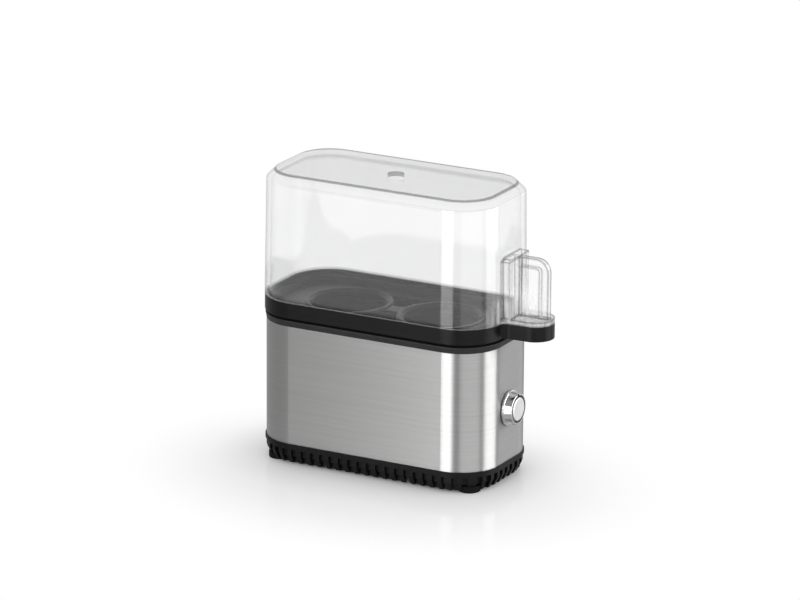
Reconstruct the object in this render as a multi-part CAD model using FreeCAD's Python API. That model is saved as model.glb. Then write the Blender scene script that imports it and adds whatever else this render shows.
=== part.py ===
import FreeCAD, Part
import math
import os

# Two-egg cooker. Millimetres, +Z up, +X towards the handle end, +Y to the back.
# The origin is on the table under the middle of the steel body.

V = FreeCAD.Vector
AXIS_X = V(1, 0, 0)
AXIS_Y = V(0, 1, 0)
AXIS_Z = V(0, 0, 1)
OVER = 1.0

# Body outline and the heights of the stack
body_length = 124.0
body_width = 61.4
end_flat = 20.0
floor_gap = 1.0
skirt_top = 9.2
sleeve_bottom = 11.0
sleeve_top = 69.9
ring_top = 73.0
band_bottom = 74.1
rim_top = 81.8
lid_top = 144.2

# Clearances
slide_gap = 0.4
sleeve_gap = 0.2
rest_gap = 0.1
screw_gap = 0.05

# Steel sleeve
sheet = 0.5

# Base
lip_over = 0.6
skirt_wall = 3.0
skirt_taper = 2.4
skirt_taper_height = 4.6
base_floor_bottom = 3.2
base_floor_top = 5.5
underside_inset = 4.5
upstand_wall = 2.0
upstand_top = 15.0
groove_width = 3.0
groove_depth = 1.9
groove_foot_depth = 3.6
groove_foot_top = 4.4
groove_top = 8.1
groove_pitch = 5.1
grooves_per_side = 22
grooves_per_end = 10
floor_vent_length = 26.0
floor_vent_width = 2.4
floor_vent_pitch = 7.0
floor_vent_count = 5

# Feet
foot_diameter = 11.0
foot_inset = 6.1
foot_edge = 0.6
foot_stem = 5.0
foot_barb = 5.8
foot_barb_height = 1.4

# Posts and base screws
post_from_corner = 19.5
post_gap = 0.3
post_diameter = 7.2
post_bottom = 8.0
boss_diameter = 9.0
screw_diameter = 2.9
screw_head_diameter = 6.0
screw_head_height = 1.8
screw_length = 16.0
screw_hole = 3.4
counterbore = 6.8
counterbore_top = 5.2
cross_width = 0.8
cross_depth = 1.0

# Top frame
ring_flare = 0.6
ring_edge = 0.4
rabbet_inset = 3.4
deck_top = 71.4
deck_opening_inset = 10.3
frame_skirt_wall = 1.8
frame_skirt_bottom = 64.0
dish_screw_inset = 8.4
dish_boss = 4.4
dish_boss_bottom = 65.0

# Heating dish and its gasket
gasket_thickness = 0.6
gasket_outer_inset = 6.0
gasket_inner_inset = 10.0
dish_sheet = 0.6
dish_bottom = 62.5
dish_fillet = 5.0
dish_screw_diameter = 1.9
dish_screw_hole = 2.2
dish_screw_head = 3.8
dish_screw_head_height = 1.2
dish_screw_length = 6.0

# Heater under the dish
plate_margin = 1.0
plate_corner = 8.0
plate_thickness = 3.0
tube_diameter = 6.0
tube_bend = 10.0
tube_from_fuse = 20.0
tube_from_thermostat = 11.0
tube_pin = 2.6
tube_pin_inset = 2.0
tube_pin_bottom = 46.0
clamp_x = 12.0
clamp_length = 34.0
clamp_width = 8.0
clamp_thickness = 1.5

# Thermostat and thermal fuse
thermostat_inset = 9.3
thermostat_height = 10.0
thermostat_flange_over = 1.0
thermostat_flange_height = 3.0
bracket_width = 9.0
bracket_thickness = 1.2
bracket_screw_inset = 3.1
blade_inset = 3.0
blade_width = 4.0
blade_thickness = 0.8
blade_bottom = 43.0
fuse_inset = 5.3
fuse_diameter = 4.0
fuse_length = 14.0
fuse_lead = 1.0
fuse_lead_end = 10.0

# Push switch on the handle end
switch_z = 37.2
switch_gasket_diameter = 17.0
switch_gasket_thickness = 0.3
bezel_diameter = 17.6
bezel_flange = 1.0
bezel_edge = 0.4
collar_diameter = 16.4
collar_face_diameter = 15.0
collar_height = 3.7
notch_width = 1.6
notch_depth = 0.9
barrel_diameter = 16.0
barrel_length = 16.0
cap_diameter = 11.6
cap_reach = 5.3
cap_length = 13.3
cap_edge = 0.6
cap_gap = 0.3
switch_washer_diameter = 19.5
switch_washer_thickness = 1.0
switch_nut_flats = 19.0
switch_nut_thickness = 3.5
switch_body_diameter = 15.8
switch_body_length = 13.0
spigot_length = 2.0
spring_diameter = 8.0
spring_wire = 0.8
spring_turns = 3.5
terminal_length = 7.0
terminal_width = 3.0
terminal_thickness = 0.8
terminal_offset = 3.0

# Mains inlet gland at the back and the terminal block
gland_z = 18.2
gland_barrel = 9.8
gland_bore = 6.6
gland_flange = 13.0
gland_flange_height = 1.6
gland_length = 8.7
gland_nut_flats = 13.0
gland_nut_thickness = 2.4
inlet_tab_half = 9.5
inlet_tab_top = 27.0
notch_corner = 1.0
notch_sill_top = 12.8
block_shift = 2.2
block_gap = 0.4
block_length = 20.0
block_depth = 10.0
block_height = 10.0
block_pole_pitch = 5.0
block_screw = 3.6
block_screw_height = 1.0

# Internal wires
wire_diameter = 1.8
wire_bend = 2.5
wire_low_z = 9.0
wire_mid_z = 13.0
link_z = 32.0
switched_z = 29.0
earth_x = 5.0
earth_z = 61.0
earth_spacing = 4.0

# Egg tray
band_over = 0.8
band_wall = 2.6
rim_lip = 1.1
rim_rabbet = 1.9
tray_floor_top = 77.0
tray_floor = 2.6
tray_fillet = 3.2
tray_foot_inset = 4.2
tray_foot_wall = 2.0
tray_foot_gap = 0.2
egg_hole_diameter = 36.4
egg_hole_x = 25.2
egg_seat_diameter = 39.4
egg_seat_depth = 1.3
egg_lip = 3.0
egg_lip_height = 0.7
steam_ring = 21.7
steam_web = 4.0
steam_edge = 18.5
steam_half_length = 16.0
steam_corner = 1.0
tab_reach = 22.5
tab_width = 18.6
tab_corner = 9.2
tab_root = 4.0
tray_edge = 0.4
tab_bottom = 74.6
tab_wall = 2.0

# Lid
lid_over = 0.9
lid_wall = 2.4
lid_chamfer = 4.6
lid_top_edge = 1.2
lid_vent = 8.0
bay_reach = 5.0
bay_corner = 0.8
bay_inner_corner = 0.4
bay_top = 113.7
flange_thickness = 2.4
fin_thickness = 2.4
fin_reach = 20.6
fin_top = 113.4
fin_corner = 6.6
fin_border = 4.9
fin_border_thickness = 3.2
handle_root = 4.0

# Values that follow from the ones above
body_corner = (body_width - end_flat) / 2
lid_bottom = rim_top + rest_gap
sleeve_face_x = body_length / 2
sleeve_inner_x = sleeve_face_x - sheet
sleeve_face_y = body_width / 2
straight_x = body_length / 2 - body_corner
straight_y = body_width / 2 - body_corner
inner_inset = -sheet - sleeve_gap
flange_bottom = deck_top + gasket_thickness
flange_top = flange_bottom + dish_sheet
dish_flange_inset = rabbet_inset + slide_gap
bowl_inset = deck_opening_inset + slide_gap
plate_inset = bowl_inset + dish_fillet + plate_margin
plate_length = body_length - 2 * plate_inset
plate_width = body_width - 2 * plate_inset
plate_bottom = dish_bottom - plate_thickness
post_x = straight_x - post_from_corner
post_y = sleeve_face_y - bowl_inset + post_gap + post_diameter / 2
thermostat_x = thermostat_inset - plate_length / 2
thermostat_diameter = plate_width - 2 * screw_head_diameter
thermostat_flange = thermostat_diameter + 2 * thermostat_flange_over
bracket_length = plate_width
bracket_screw_y = plate_width / 2 - bracket_screw_inset
blade_offset = thermostat_diameter / 2 - blade_inset
fuse_x = plate_length / 2 - fuse_inset
tube_end_x = thermostat_x + tube_from_thermostat
tube_bend_x = fuse_x - tube_from_fuse
gland_x = gland_nut_flats / math.sqrt(3) - straight_x
gland_inner_y = sleeve_face_y - gland_length
gland_hole = gland_barrel + sleeve_gap
upstand_inner = inner_inset - upstand_wall
inlet_tab_y = sleeve_face_y + upstand_inner
block_x = gland_x - block_shift
block_front_y = post_y - boss_diameter / 2 - block_gap - block_depth
tab_end_x = sleeve_face_x + tab_reach
bay_face_x = sleeve_face_x + bay_reach
fin_end_x = sleeve_face_x + fin_reach
handle_root_x = sleeve_face_x - handle_root
tube_z = plate_bottom - tube_diameter / 2
clamp_bottom = tube_z - tube_diameter / 2 - clamp_thickness
thermostat_bottom = plate_bottom - thermostat_height
bracket_bottom = thermostat_bottom - bracket_thickness
band_inner = band_over - band_wall
lid_inner = lid_over - lid_wall
rib_outer = band_over - rim_lip - slide_gap
rib_bottom = rim_top - rim_rabbet + slide_gap
egg_lip_top = tray_floor_top + egg_lip_height
handle_half = tab_width / 2
foot_corner_reach = body_corner - foot_inset
foot_x = straight_x + foot_corner_reach * math.cos(math.pi / 4)
foot_y = straight_y + foot_corner_reach * math.sin(math.pi / 4)
bezel_bottom_x = sleeve_face_x + switch_gasket_thickness
collar_x = bezel_bottom_x + bezel_flange
bezel_face_x = collar_x + collar_height
barrel_end_x = sleeve_face_x - barrel_length
cap_face_x = sleeve_face_x + cap_reach
cap_back_x = cap_face_x - cap_length
switch_body_back_x = barrel_end_x - switch_body_length
spring_seat_x = barrel_end_x + spigot_length
switch_lead_x = switch_body_back_x - terminal_length
riser_x = switch_lead_x - terminal_length
pole_live_x = block_x - block_pole_pitch
pole_neutral_x = block_x + block_pole_pitch
pin_x = tube_end_x + tube_pin_inset
fuse_z = plate_bottom - fuse_diameter / 2
blade_near_x = thermostat_x + blade_offset
blade_far_x = thermostat_x - blade_offset
link_y = plate_width / 2 + wire_diameter
earth_y = plate_width / 2 + earth_spacing
switch_hole = barrel_diameter + slide_gap
cap_bore = cap_diameter + 2 * cap_gap
spring_bend = 0.45 * spring_diameter
FOUR = [(1, 1), (-1, 1), (-1, -1), (1, -1)]


def rounded_wire(length, width, radius, z):
    """A rounded rectangle about the origin at height z."""
    a = length / 2 - radius
    b = width / 2 - radius
    edges = []
    for i, (sx, sy) in enumerate(FOUR):
        centre = V(sx * a, sy * b, z)
        edges.append(Part.makeCircle(radius, centre, AXIS_Z, 90 * i, 90 * i + 90))
        start = edges[-1].Vertexes[-1].Point
        nx, ny = FOUR[(i + 1) % 4]
        turn = math.radians(90 * i + 90)
        end = V(nx * a + radius * math.cos(turn), ny * b + radius * math.sin(turn), z)
        edges.append(Part.makeLine(start, end))
    return Part.Wire(edges)


def outline(offset, z):
    """The body outline grown by offset."""
    return rounded_wire(
        body_length + 2 * offset, body_width + 2 * offset, body_corner + offset, z
    )


def slab(offset, z0, z1):
    return Part.Face(outline(offset, z0)).extrude(V(0, 0, z1 - z0))


def taper(offset0, z0, offset1, z1):
    return Part.makeLoft([outline(offset0, z0), outline(offset1, z1)], True, True)


def ring(outer, inner, z0, z1):
    return slab(outer, z0, z1).cut(slab(inner, z0 - OVER, z1 + OVER))


def rod(diameter, x, y, z0, z1):
    return Part.makeCylinder(diameter / 2, z1 - z0, V(x, y, z0), AXIS_Z)


def rod_x(diameter, x0, x1, y, z):
    return Part.makeCylinder(diameter / 2, x1 - x0, V(x0, y, z), AXIS_X)


def rod_y(diameter, y0, y1, x, z):
    return Part.makeCylinder(diameter / 2, y1 - y0, V(x, y0, z), AXIS_Y)


def block(x0, x1, y0, y1, z0, z1):
    return Part.makeBox(x1 - x0, y1 - y0, z1 - z0, V(x0, y0, z0))


def level_edges(shape, z):
    """The edges that lie flat at height z."""
    found = []
    for edge in shape.Edges:
        if abs(edge.BoundBox.ZMin - z) < 1e-4 and abs(edge.BoundBox.ZMax - z) < 1e-4:
            found.append(edge)
    return found


def upright_edges(shape):
    found = []
    for edge in shape.Edges:
        if edge.BoundBox.XLength < 1e-4 and edge.BoundBox.YLength < 1e-4:
            found.append(edge)
    return found


def edges_beyond(shape, x):
    """The edges at or past x."""
    return [edge for edge in shape.Edges if edge.BoundBox.XMin > x - 1e-4]


def bowl_solid(offset, z0, z1, radius):
    """A slab of the body outline with its lower edge rounded."""
    solid = slab(offset, z0, z1)
    return solid.makeFillet(radius, level_edges(solid, z0))


def flared_tongue(offset, end_x, z0, z1):
    """The plan of the lifting tab: it leaves the body outline in two hollow curves."""
    radius = body_corner + offset
    centre_y = handle_half + tab_root
    rise = max(0.0, centre_y - straight_y)
    run = math.sqrt((radius + tab_root) ** 2 - rise**2)
    centre_x = straight_x + run
    share = radius / (radius + tab_root)
    meet = V(straight_x + run * share, centre_y - rise * (1 - share), z0)
    side = V(centre_x, handle_half, z0)
    half_turn = (math.atan2(-rise, -run) - math.pi / 2) / 2
    bulge = V(math.cos(half_turn), math.sin(half_turn), 0) * tab_root
    middle = V(centre_x, centre_y, z0) + bulge
    shoulder = V(end_x - tab_corner, handle_half, z0)
    slant = tab_corner * math.sqrt(0.5)
    knee = V(end_x - tab_corner + slant, handle_half - tab_corner + slant, z0)
    tip = V(end_x, handle_half - tab_corner, z0)
    root = V(straight_x, meet.y, z0)
    upper = [
        Part.makeLine(root, meet),
        Part.Arc(meet, middle, side).toShape(),
        Part.makeLine(side, shoulder),
        Part.Arc(shoulder, knee, tip).toShape(),
    ]
    lower = [edge.mirror(V(0, 0, z0), AXIS_Y) for edge in upper]
    end = Part.makeLine(tip, V(tip.x, -tip.y, z0))
    back = Part.makeLine(root, V(root.x, -root.y, z0))
    wire = Part.Wire(Part.__sortEdges__(upper + lower + [end, back]))
    return Part.Face(wire).extrude(V(0, 0, z1 - z0))


def tongue(root_x, end_x, half_width, corner, z0, z1):
    """A plate that runs out along +X and has rounded outer corners."""
    solid = block(root_x, end_x, -half_width, half_width, z0, z1)
    outer = [e for e in upright_edges(solid) if e.BoundBox.XMin > end_x - 1e-4]
    return solid.makeFillet(corner, outer)


def hexagon(flats, x, y, z, thickness, axis):
    """A hexagonal prism that runs along axis from the point given."""
    points = []
    for i in range(7):
        turn = math.radians(60 * i)
        points.append(V(math.cos(turn), math.sin(turn), 0) * (flats / math.sqrt(3)))
    prism = Part.Face(Part.makePolygon(points)).extrude(V(0, 0, thickness))
    prism.Placement = FreeCAD.Placement(V(x, y, z), FreeCAD.Rotation(AXIS_Z, axis))
    return prism


def pan_screw(x, y, under_head, length, diameter, head, head_height, up):
    """A cross-head screw on a vertical axis; up is +1 if its tip points up."""
    shank = Part.makeCylinder(diameter / 2, length, V(0, 0, 0), AXIS_Z)
    cap = Part.makeCylinder(head / 2, head_height, V(0, 0, -head_height), AXIS_Z)
    cap = cap.makeFillet(head_height * 0.4, level_edges(cap, -head_height))
    reach = head * 0.3
    low = -head_height - OVER
    high = -head_height + cross_depth * head_height / screw_head_height
    half = cross_width * head / screw_head_diameter / 2
    cross = block(-reach, reach, -half, half, low, high)
    cross = cross.fuse(block(-half, half, -reach, reach, low, high))
    screw = shank.fuse(cap).removeSplitter().cut(cross)
    if up < 0:
        screw.rotate(V(0, 0, 0), AXIS_X, 180)
    screw.translate(V(x, y, under_head))
    return screw


def bent_wire(points, diameter, bend):
    """A round wire along straight runs joined by tangent arcs."""
    corners = [V(*p) for p in points]
    edges = []
    last = corners[0]
    for i in range(1, len(corners) - 1):
        before = (corners[i - 1] - corners[i]).normalize()
        after = (corners[i + 1] - corners[i]).normalize()
        half = before.getAngle(after) / 2
        back = bend / math.tan(half)
        start = corners[i] + before * back
        end = corners[i] + after * back
        to_centre = (before + after).normalize()
        middle = corners[i] + to_centre * (bend / math.sin(half) - bend)
        edges.append(Part.makeLine(last, start))
        edges.append(Part.Arc(start, middle, end).toShape())
        last = end
    edges.append(Part.makeLine(last, corners[-1]))
    path = Part.Wire(edges)
    first = (corners[1] - corners[0]).normalize()
    profile = Part.Wire(Part.makeCircle(diameter / 2, corners[0], first))
    return path.makePipeShell([profile], True, False)


def along_side(s, half_straight, half_across):
    """The point and outward angle at distance s from the middle of a side."""
    past = abs(s) - half_straight
    sign = 1 if s > 0 else -1
    if past <= 0:
        return V(s, half_across + body_corner, 0), 0.0
    turn = past / body_corner
    x = half_straight + body_corner * math.sin(turn)
    y = half_across + body_corner * math.cos(turn)
    return V(sign * x, y, 0), -sign * math.degrees(turn)


def side_grooves(count, half_straight, half_across, turn):
    """Upright groove cutters along one side of the skirt, turned about Z."""
    cutters = []
    for i in range(count):
        s = (i - (count - 1) / 2) * groove_pitch
        point, angle = along_side(s, half_straight, half_across)
        half = groove_width / 2
        cutter = block(-half, half, -groove_depth, OVER, floor_gap - OVER, groove_top)
        foot = block(-half, half, -groove_foot_depth, OVER, floor_gap - OVER, groove_foot_top)
        cutter = cutter.fuse(foot)
        cutter.rotate(V(0, 0, 0), AXIS_Z, angle)
        cutter.translate(point)
        cutter.rotate(V(0, 0, 0), AXIS_Z, turn)
        cutters.append(cutter)
    return cutters


# Base: fluted skirt, floor, lip under the sleeve and an upstand inside it
def make_base():
    taper_top = floor_gap + skirt_taper_height
    shape = taper(-skirt_taper, floor_gap, 0, taper_top)
    shape = shape.fuse(slab(0, taper_top, skirt_top))
    shape = shape.fuse(slab(lip_over, skirt_top, sleeve_bottom))
    shape = shape.fuse(slab(inner_inset, sleeve_bottom, upstand_top))
    shape = shape.cut(slab(upstand_inner, sleeve_bottom - OVER, upstand_top + OVER))
    shape = shape.cut(slab(-skirt_wall, base_floor_top, sleeve_bottom))
    shape = shape.cut(slab(-underside_inset, floor_gap - OVER, base_floor_bottom))
    for sx, sy in FOUR:
        x, y = sx * post_x, sy * post_y
        shape = shape.fuse(rod(boss_diameter, x, y, base_floor_bottom, post_bottom))
    shape = shape.fuse(inlet_tab())
    cutters = [rod_y(gland_hole, gland_inner_y, sleeve_face_y + OVER, gland_x, gland_z)]
    for sx, sy in FOUR:
        x, y = sx * post_x, sy * post_y
        cutters.append(rod(counterbore, x, y, floor_gap - OVER, counterbore_top))
        cutters.append(rod(screw_hole, x, y, floor_gap, post_bottom + OVER))
        x, y = sx * foot_x, sy * foot_y
        pocket = foot_diameter + slide_gap
        cutters.append(rod(pocket, x, y, floor_gap - OVER, base_floor_bottom))
        cutters.append(rod(foot_stem + sleeve_gap, x, y, floor_gap, base_floor_top + OVER))
    half_vent = floor_vent_length / 2
    for i in range(floor_vent_count):
        x = (i - (floor_vent_count - 1) / 2) * floor_vent_pitch
        half = floor_vent_width / 2
        z0, z1 = floor_gap, base_floor_top + OVER
        cutters.append(block(x - half, x + half, -half_vent, half_vent, z0, z1))
    for turn in (0, 180):
        cutters += side_grooves(grooves_per_side, straight_x, straight_y, turn)
    for turn in (90, 270):
        cutters += side_grooves(grooves_per_end, straight_y, straight_x, turn)
    return shape.cut(cutters).removeSplitter()


def inlet_tab():
    """A tab of the upstand that carries the gland, with a sill in the mouth of the notch."""
    x0, x1 = gland_x - inlet_tab_half, gland_x + inlet_tab_half
    wall = ring(inner_inset, upstand_inner, sleeve_bottom, inlet_tab_top)
    tab = wall.common(block(x0, x1, 0, sleeve_face_y, sleeve_bottom, inlet_tab_top))
    half = gland_hole / 2 - sleeve_gap
    sill = block(
        gland_x - half,
        gland_x + half,
        inlet_tab_y,
        sleeve_face_y - rest_gap,
        sleeve_bottom,
        notch_sill_top,
    )
    return tab.fuse(sill)


# Rubber feet: pad, stem through the floor and a barb that holds it
def make_feet():
    feet = []
    for sx, sy in FOUR:
        x, y = sx * foot_x, sy * foot_y
        pad = rod(foot_diameter, x, y, 0, base_floor_bottom)
        pad = pad.makeFillet(foot_edge, level_edges(pad, 0))
        barb_bottom = base_floor_top + rest_gap
        stem = rod(foot_stem, x, y, base_floor_bottom, barb_bottom)
        barb = Part.makeCone(
            foot_barb / 2, foot_stem / 2, foot_barb_height, V(x, y, barb_bottom), AXIS_Z
        )
        feet.append(pad.fuse(stem).fuse(barb))
    return Part.makeCompound(feet)


def make_base_screws():
    screws = []
    for sx, sy in FOUR:
        screws.append(
            pan_screw(
                sx * post_x,
                sy * post_y,
                counterbore_top,
                screw_length,
                screw_diameter,
                screw_head_diameter,
                screw_head_height,
                1,
            )
        )
    return Part.makeCompound(screws)


# Steel sleeve: seamless band of thin sheet with a hole for the switch and, low at the
# back, a notch for the gland
def make_sleeve():
    shape = ring(0, -sheet, sleeve_bottom, sleeve_top)
    shape = shape.cut(rod_x(switch_hole, straight_x, sleeve_face_x + OVER, 0, switch_z))
    half = gland_hole / 2
    notch = block(
        gland_x - half,
        gland_x + half,
        straight_y,
        sleeve_face_y + OVER,
        sleeve_bottom - OVER,
        gland_z + half,
    )
    corners = [edge for edge in level_edges(notch, gland_z + half) if edge.BoundBox.XLength < 1e-4]
    return shape.cut(notch.makeFillet(notch_corner, corners))


def dish_screw_places():
    reach_x = body_length / 2 - dish_screw_inset
    reach_y = body_width / 2 - dish_screw_inset
    return [(reach_x, 0), (0, reach_y), (-reach_x, 0), (0, -reach_y)]


# Top frame: flared ring over the sleeve, deck for the dish and four long posts
def make_top_frame():
    shape = taper(0, sleeve_top, ring_flare, ring_top)
    shape = shape.makeFillet(ring_edge, level_edges(shape, ring_top))
    shape = shape.cut(slab(-rabbet_inset, deck_top, ring_top + OVER))
    skirt = slab(inner_inset, frame_skirt_bottom, sleeve_top)
    skirt_inner = inner_inset - frame_skirt_wall
    skirt = skirt.cut(slab(skirt_inner, frame_skirt_bottom - OVER, sleeve_top + OVER))
    shape = shape.fuse(skirt)
    for sx, sy in FOUR:
        shape = shape.fuse(rod(post_diameter, sx * post_x, sy * post_y, post_bottom, sleeve_top))
    for x, y in dish_screw_places():
        shape = shape.fuse(rod(dish_boss, x, y, dish_boss_bottom, sleeve_top))
    cutters = [slab(-deck_opening_inset, dish_boss_bottom, ring_top)]
    pilot = screw_diameter + 2 * screw_gap
    pilot_top = counterbore_top + screw_length + OVER
    for sx, sy in FOUR:
        cutters.append(rod(pilot, sx * post_x, sy * post_y, post_bottom - OVER, pilot_top))
    small_pilot = dish_screw_diameter + 2 * screw_gap
    for x, y in dish_screw_places():
        cutters.append(rod(small_pilot, x, y, dish_boss_bottom - OVER, ring_top))
    return shape.cut(cutters).removeSplitter()


# Silicone gasket between the deck and the dish flange
def make_dish_gasket():
    shape = ring(-gasket_outer_inset, -gasket_inner_inset, deck_top, flange_bottom)
    for x, y in dish_screw_places():
        shape = shape.cut(rod(dish_screw_hole, x, y, deck_top - OVER, flange_top))
    return shape


# Heating dish: pressed sheet bowl that holds the water
def make_heating_dish():
    shape = bowl_solid(-bowl_inset, dish_bottom, flange_top, dish_fillet)
    shape = shape.fuse(slab(-dish_flange_inset, flange_bottom, flange_top))
    inner = bowl_solid(
        -bowl_inset - dish_sheet,
        dish_bottom + dish_sheet,
        flange_top + OVER,
        dish_fillet - dish_sheet,
    )
    shape = shape.cut(inner)
    for x, y in dish_screw_places():
        shape = shape.cut(rod(dish_screw_hole, x, y, deck_top, flange_top + OVER))
    return shape.removeSplitter()


def make_dish_screws():
    screws = []
    for x, y in dish_screw_places():
        screws.append(
            pan_screw(
                x,
                y,
                flange_top,
                dish_screw_length,
                dish_screw_diameter,
                dish_screw_head,
                dish_screw_head_height,
                -1,
            )
        )
    return Part.makeCompound(screws)


def heater_screw_places():
    """Places of the clamp screws and the bracket screws, with their seats."""
    places = [(-clamp_x, 0, clamp_bottom), (clamp_x, 0, clamp_bottom)]
    places.append((thermostat_x, bracket_screw_y, bracket_bottom))
    places.append((thermostat_x, -bracket_screw_y, bracket_bottom))
    return places


# Heater: aluminium plate on the dish, tubular element and its clamps
def make_heater_plate():
    wire = rounded_wire(plate_length, plate_width, plate_corner, plate_bottom)
    shape = Part.Face(wire).extrude(V(0, 0, plate_thickness))
    tapped = screw_diameter + 2 * screw_gap
    for x, y, seat in heater_screw_places():
        shape = shape.cut(rod(tapped, x, y, plate_bottom - OVER, dish_bottom))
    return shape


def make_heating_element():
    start = V(tube_end_x, -tube_bend, tube_z)
    near = V(tube_bend_x, -tube_bend, tube_z)
    tip = V(tube_bend_x + tube_bend, 0, tube_z)
    far = V(tube_bend_x, tube_bend, tube_z)
    end = V(tube_end_x, tube_bend, tube_z)
    arc = Part.Arc(near, tip, far).toShape()
    path = Part.Wire([Part.makeLine(start, near), arc, Part.makeLine(far, end)])
    profile = Part.Wire(Part.makeCircle(tube_diameter / 2, start, AXIS_X))
    shape = path.makePipeShell([profile], True, False)
    for y in (-tube_bend, tube_bend):
        shape = shape.fuse(rod(tube_pin, pin_x, y, tube_pin_bottom, tube_z))
    return shape


def make_element_clamps():
    bars = []
    half = clamp_length / 2
    for x in (-clamp_x, clamp_x):
        z0, z1 = clamp_bottom, clamp_bottom + clamp_thickness
        bar = block(x - clamp_width / 2, x + clamp_width / 2, -half, half, z0, z1)
        bar = bar.makeFillet(clamp_thickness, upright_edges(bar))
        bars.append(bar.cut(rod(screw_hole, x, 0, z0 - OVER, z1 + OVER)))
    return Part.makeCompound(bars)


def make_heater_screws():
    screws = []
    for x, y, seat in heater_screw_places():
        length = dish_bottom - seat - sleeve_gap
        screws.append(
            pan_screw(
                x, y, seat, length, screw_diameter, screw_head_diameter, screw_head_height, 1
            )
        )
    return Part.makeCompound(screws)


# Thermostat: round case against the plate with two blade terminals below
def make_thermostat():
    case = rod(thermostat_diameter, thermostat_x, 0, thermostat_bottom, plate_bottom)
    flange_z = plate_bottom - thermostat_flange_height
    case = case.fuse(rod(thermostat_flange, thermostat_x, 0, flange_z, plate_bottom))
    for sign in (-1, 1):
        x = thermostat_x + sign * blade_offset
        blade = block(
            x - blade_thickness / 2,
            x + blade_thickness / 2,
            -blade_width / 2,
            blade_width / 2,
            blade_bottom,
            thermostat_bottom,
        )
        case = case.fuse(blade)
    return case


def make_thermostat_bracket():
    half = bracket_length / 2
    x0, x1 = thermostat_x - bracket_width / 2, thermostat_x + bracket_width / 2
    bar = block(x0, x1, -half, half, bracket_bottom, thermostat_bottom)
    bar = bar.makeFillet(bracket_thickness, upright_edges(bar))
    for y in (-bracket_screw_y, bracket_screw_y):
        bar = bar.cut(rod(screw_hole, thermostat_x, y, bracket_bottom - OVER, plate_bottom))
    slot = blade_width / 2 + slide_gap
    bite = blade_thickness / 2 + slide_gap
    for sign in (-1, 1):
        x = thermostat_x + sign * blade_offset
        bar = bar.cut(block(x - bite, x + bite, -slot, slot, blade_bottom, plate_bottom))
    return bar


def make_thermal_fuse():
    shape = rod_y(fuse_diameter, -fuse_length / 2, fuse_length / 2, fuse_x, fuse_z)
    ends = [edge for edge in shape.Edges if edge.BoundBox.YLength < 1e-4]
    shape = shape.makeFillet(fuse_diameter * 0.2, ends)
    return shape.fuse(rod_y(fuse_lead, -fuse_lead_end, fuse_lead_end, fuse_x, fuse_z))


# Push switch: sealing ring, chrome bezel on a threaded barrel, washer and nut
def make_switch_gasket():
    shape = rod_x(switch_gasket_diameter, sleeve_face_x, bezel_bottom_x, 0, switch_z)
    return shape.cut(
        rod_x(switch_hole, sleeve_face_x - OVER, bezel_bottom_x + OVER, 0, switch_z)
    )


def make_switch_bezel():
    flange = rod_x(bezel_diameter, bezel_bottom_x, collar_x, 0, switch_z)
    flange = flange.makeFillet(bezel_edge, edges_beyond(flange, collar_x))
    collar = Part.makeCone(
        collar_diameter / 2,
        collar_face_diameter / 2,
        collar_height,
        V(collar_x, 0, switch_z),
        AXIS_X,
    )
    collar = collar.makeFillet(bezel_edge, edges_beyond(collar, bezel_face_x))
    shape = flange.fuse(collar)
    shape = shape.fuse(rod_x(barrel_diameter, barrel_end_x, bezel_bottom_x, 0, switch_z))
    shape = shape.cut(rod_x(cap_bore, barrel_end_x - OVER, bezel_face_x + OVER, 0, switch_z))
    half = notch_width / 2
    low, high = switch_z - bezel_diameter, switch_z + bezel_diameter
    notch = block(bezel_face_x - notch_depth, bezel_face_x + OVER, -half, half, low, high)
    return shape.cut(notch)


def make_switch_washer():
    washer_x = sleeve_inner_x - switch_washer_thickness
    shape = rod_x(switch_washer_diameter, washer_x, sleeve_inner_x, 0, switch_z)
    return shape.cut(rod_x(switch_hole, washer_x - OVER, sleeve_inner_x + OVER, 0, switch_z))


def make_switch_nut():
    nut_x = sleeve_inner_x - switch_washer_thickness - switch_nut_thickness
    shape = hexagon(switch_nut_flats, nut_x, 0, switch_z, switch_nut_thickness, AXIS_X)
    nut_bore = barrel_diameter + 2 * screw_gap
    return shape.cut(rod_x(nut_bore, nut_x - OVER, sleeve_inner_x, 0, switch_z))


def make_switch_body():
    shape = rod_x(switch_body_diameter, switch_body_back_x, barrel_end_x, 0, switch_z)
    spigot = cap_bore - slide_gap
    return shape.fuse(rod_x(spigot, barrel_end_x, spring_seat_x, 0, switch_z))


def make_switch_terminals():
    blades = []
    x0, x1 = switch_body_back_x - terminal_length, switch_body_back_x
    for sy, sz in FOUR:
        y = sy * terminal_offset
        z = switch_z + sz * terminal_offset
        half_y, half_z = terminal_thickness / 2, terminal_width / 2
        blades.append(block(x0, x1, y - half_y, y + half_y, z - half_z, z + half_z))
    return Part.makeCompound(blades)


def make_switch_spring():
    low = spring_seat_x + spring_wire / 2 + rest_gap
    high = cap_back_x - spring_wire / 2 - rest_gap
    steps = round(8 * spring_turns)
    route = []
    for i in range(steps + 1):
        turn = math.radians(45 * i)
        y = spring_diameter / 2 * math.cos(turn)
        z = switch_z + spring_diameter / 2 * math.sin(turn)
        route.append((low + (high - low) * i / steps, y, z))
    return bent_wire(route, spring_wire, spring_bend)


def make_switch_cap():
    cap = rod_x(cap_diameter, cap_back_x, cap_face_x, 0, switch_z)
    return cap.makeFillet(cap_edge, edges_beyond(cap, cap_face_x))


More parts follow.
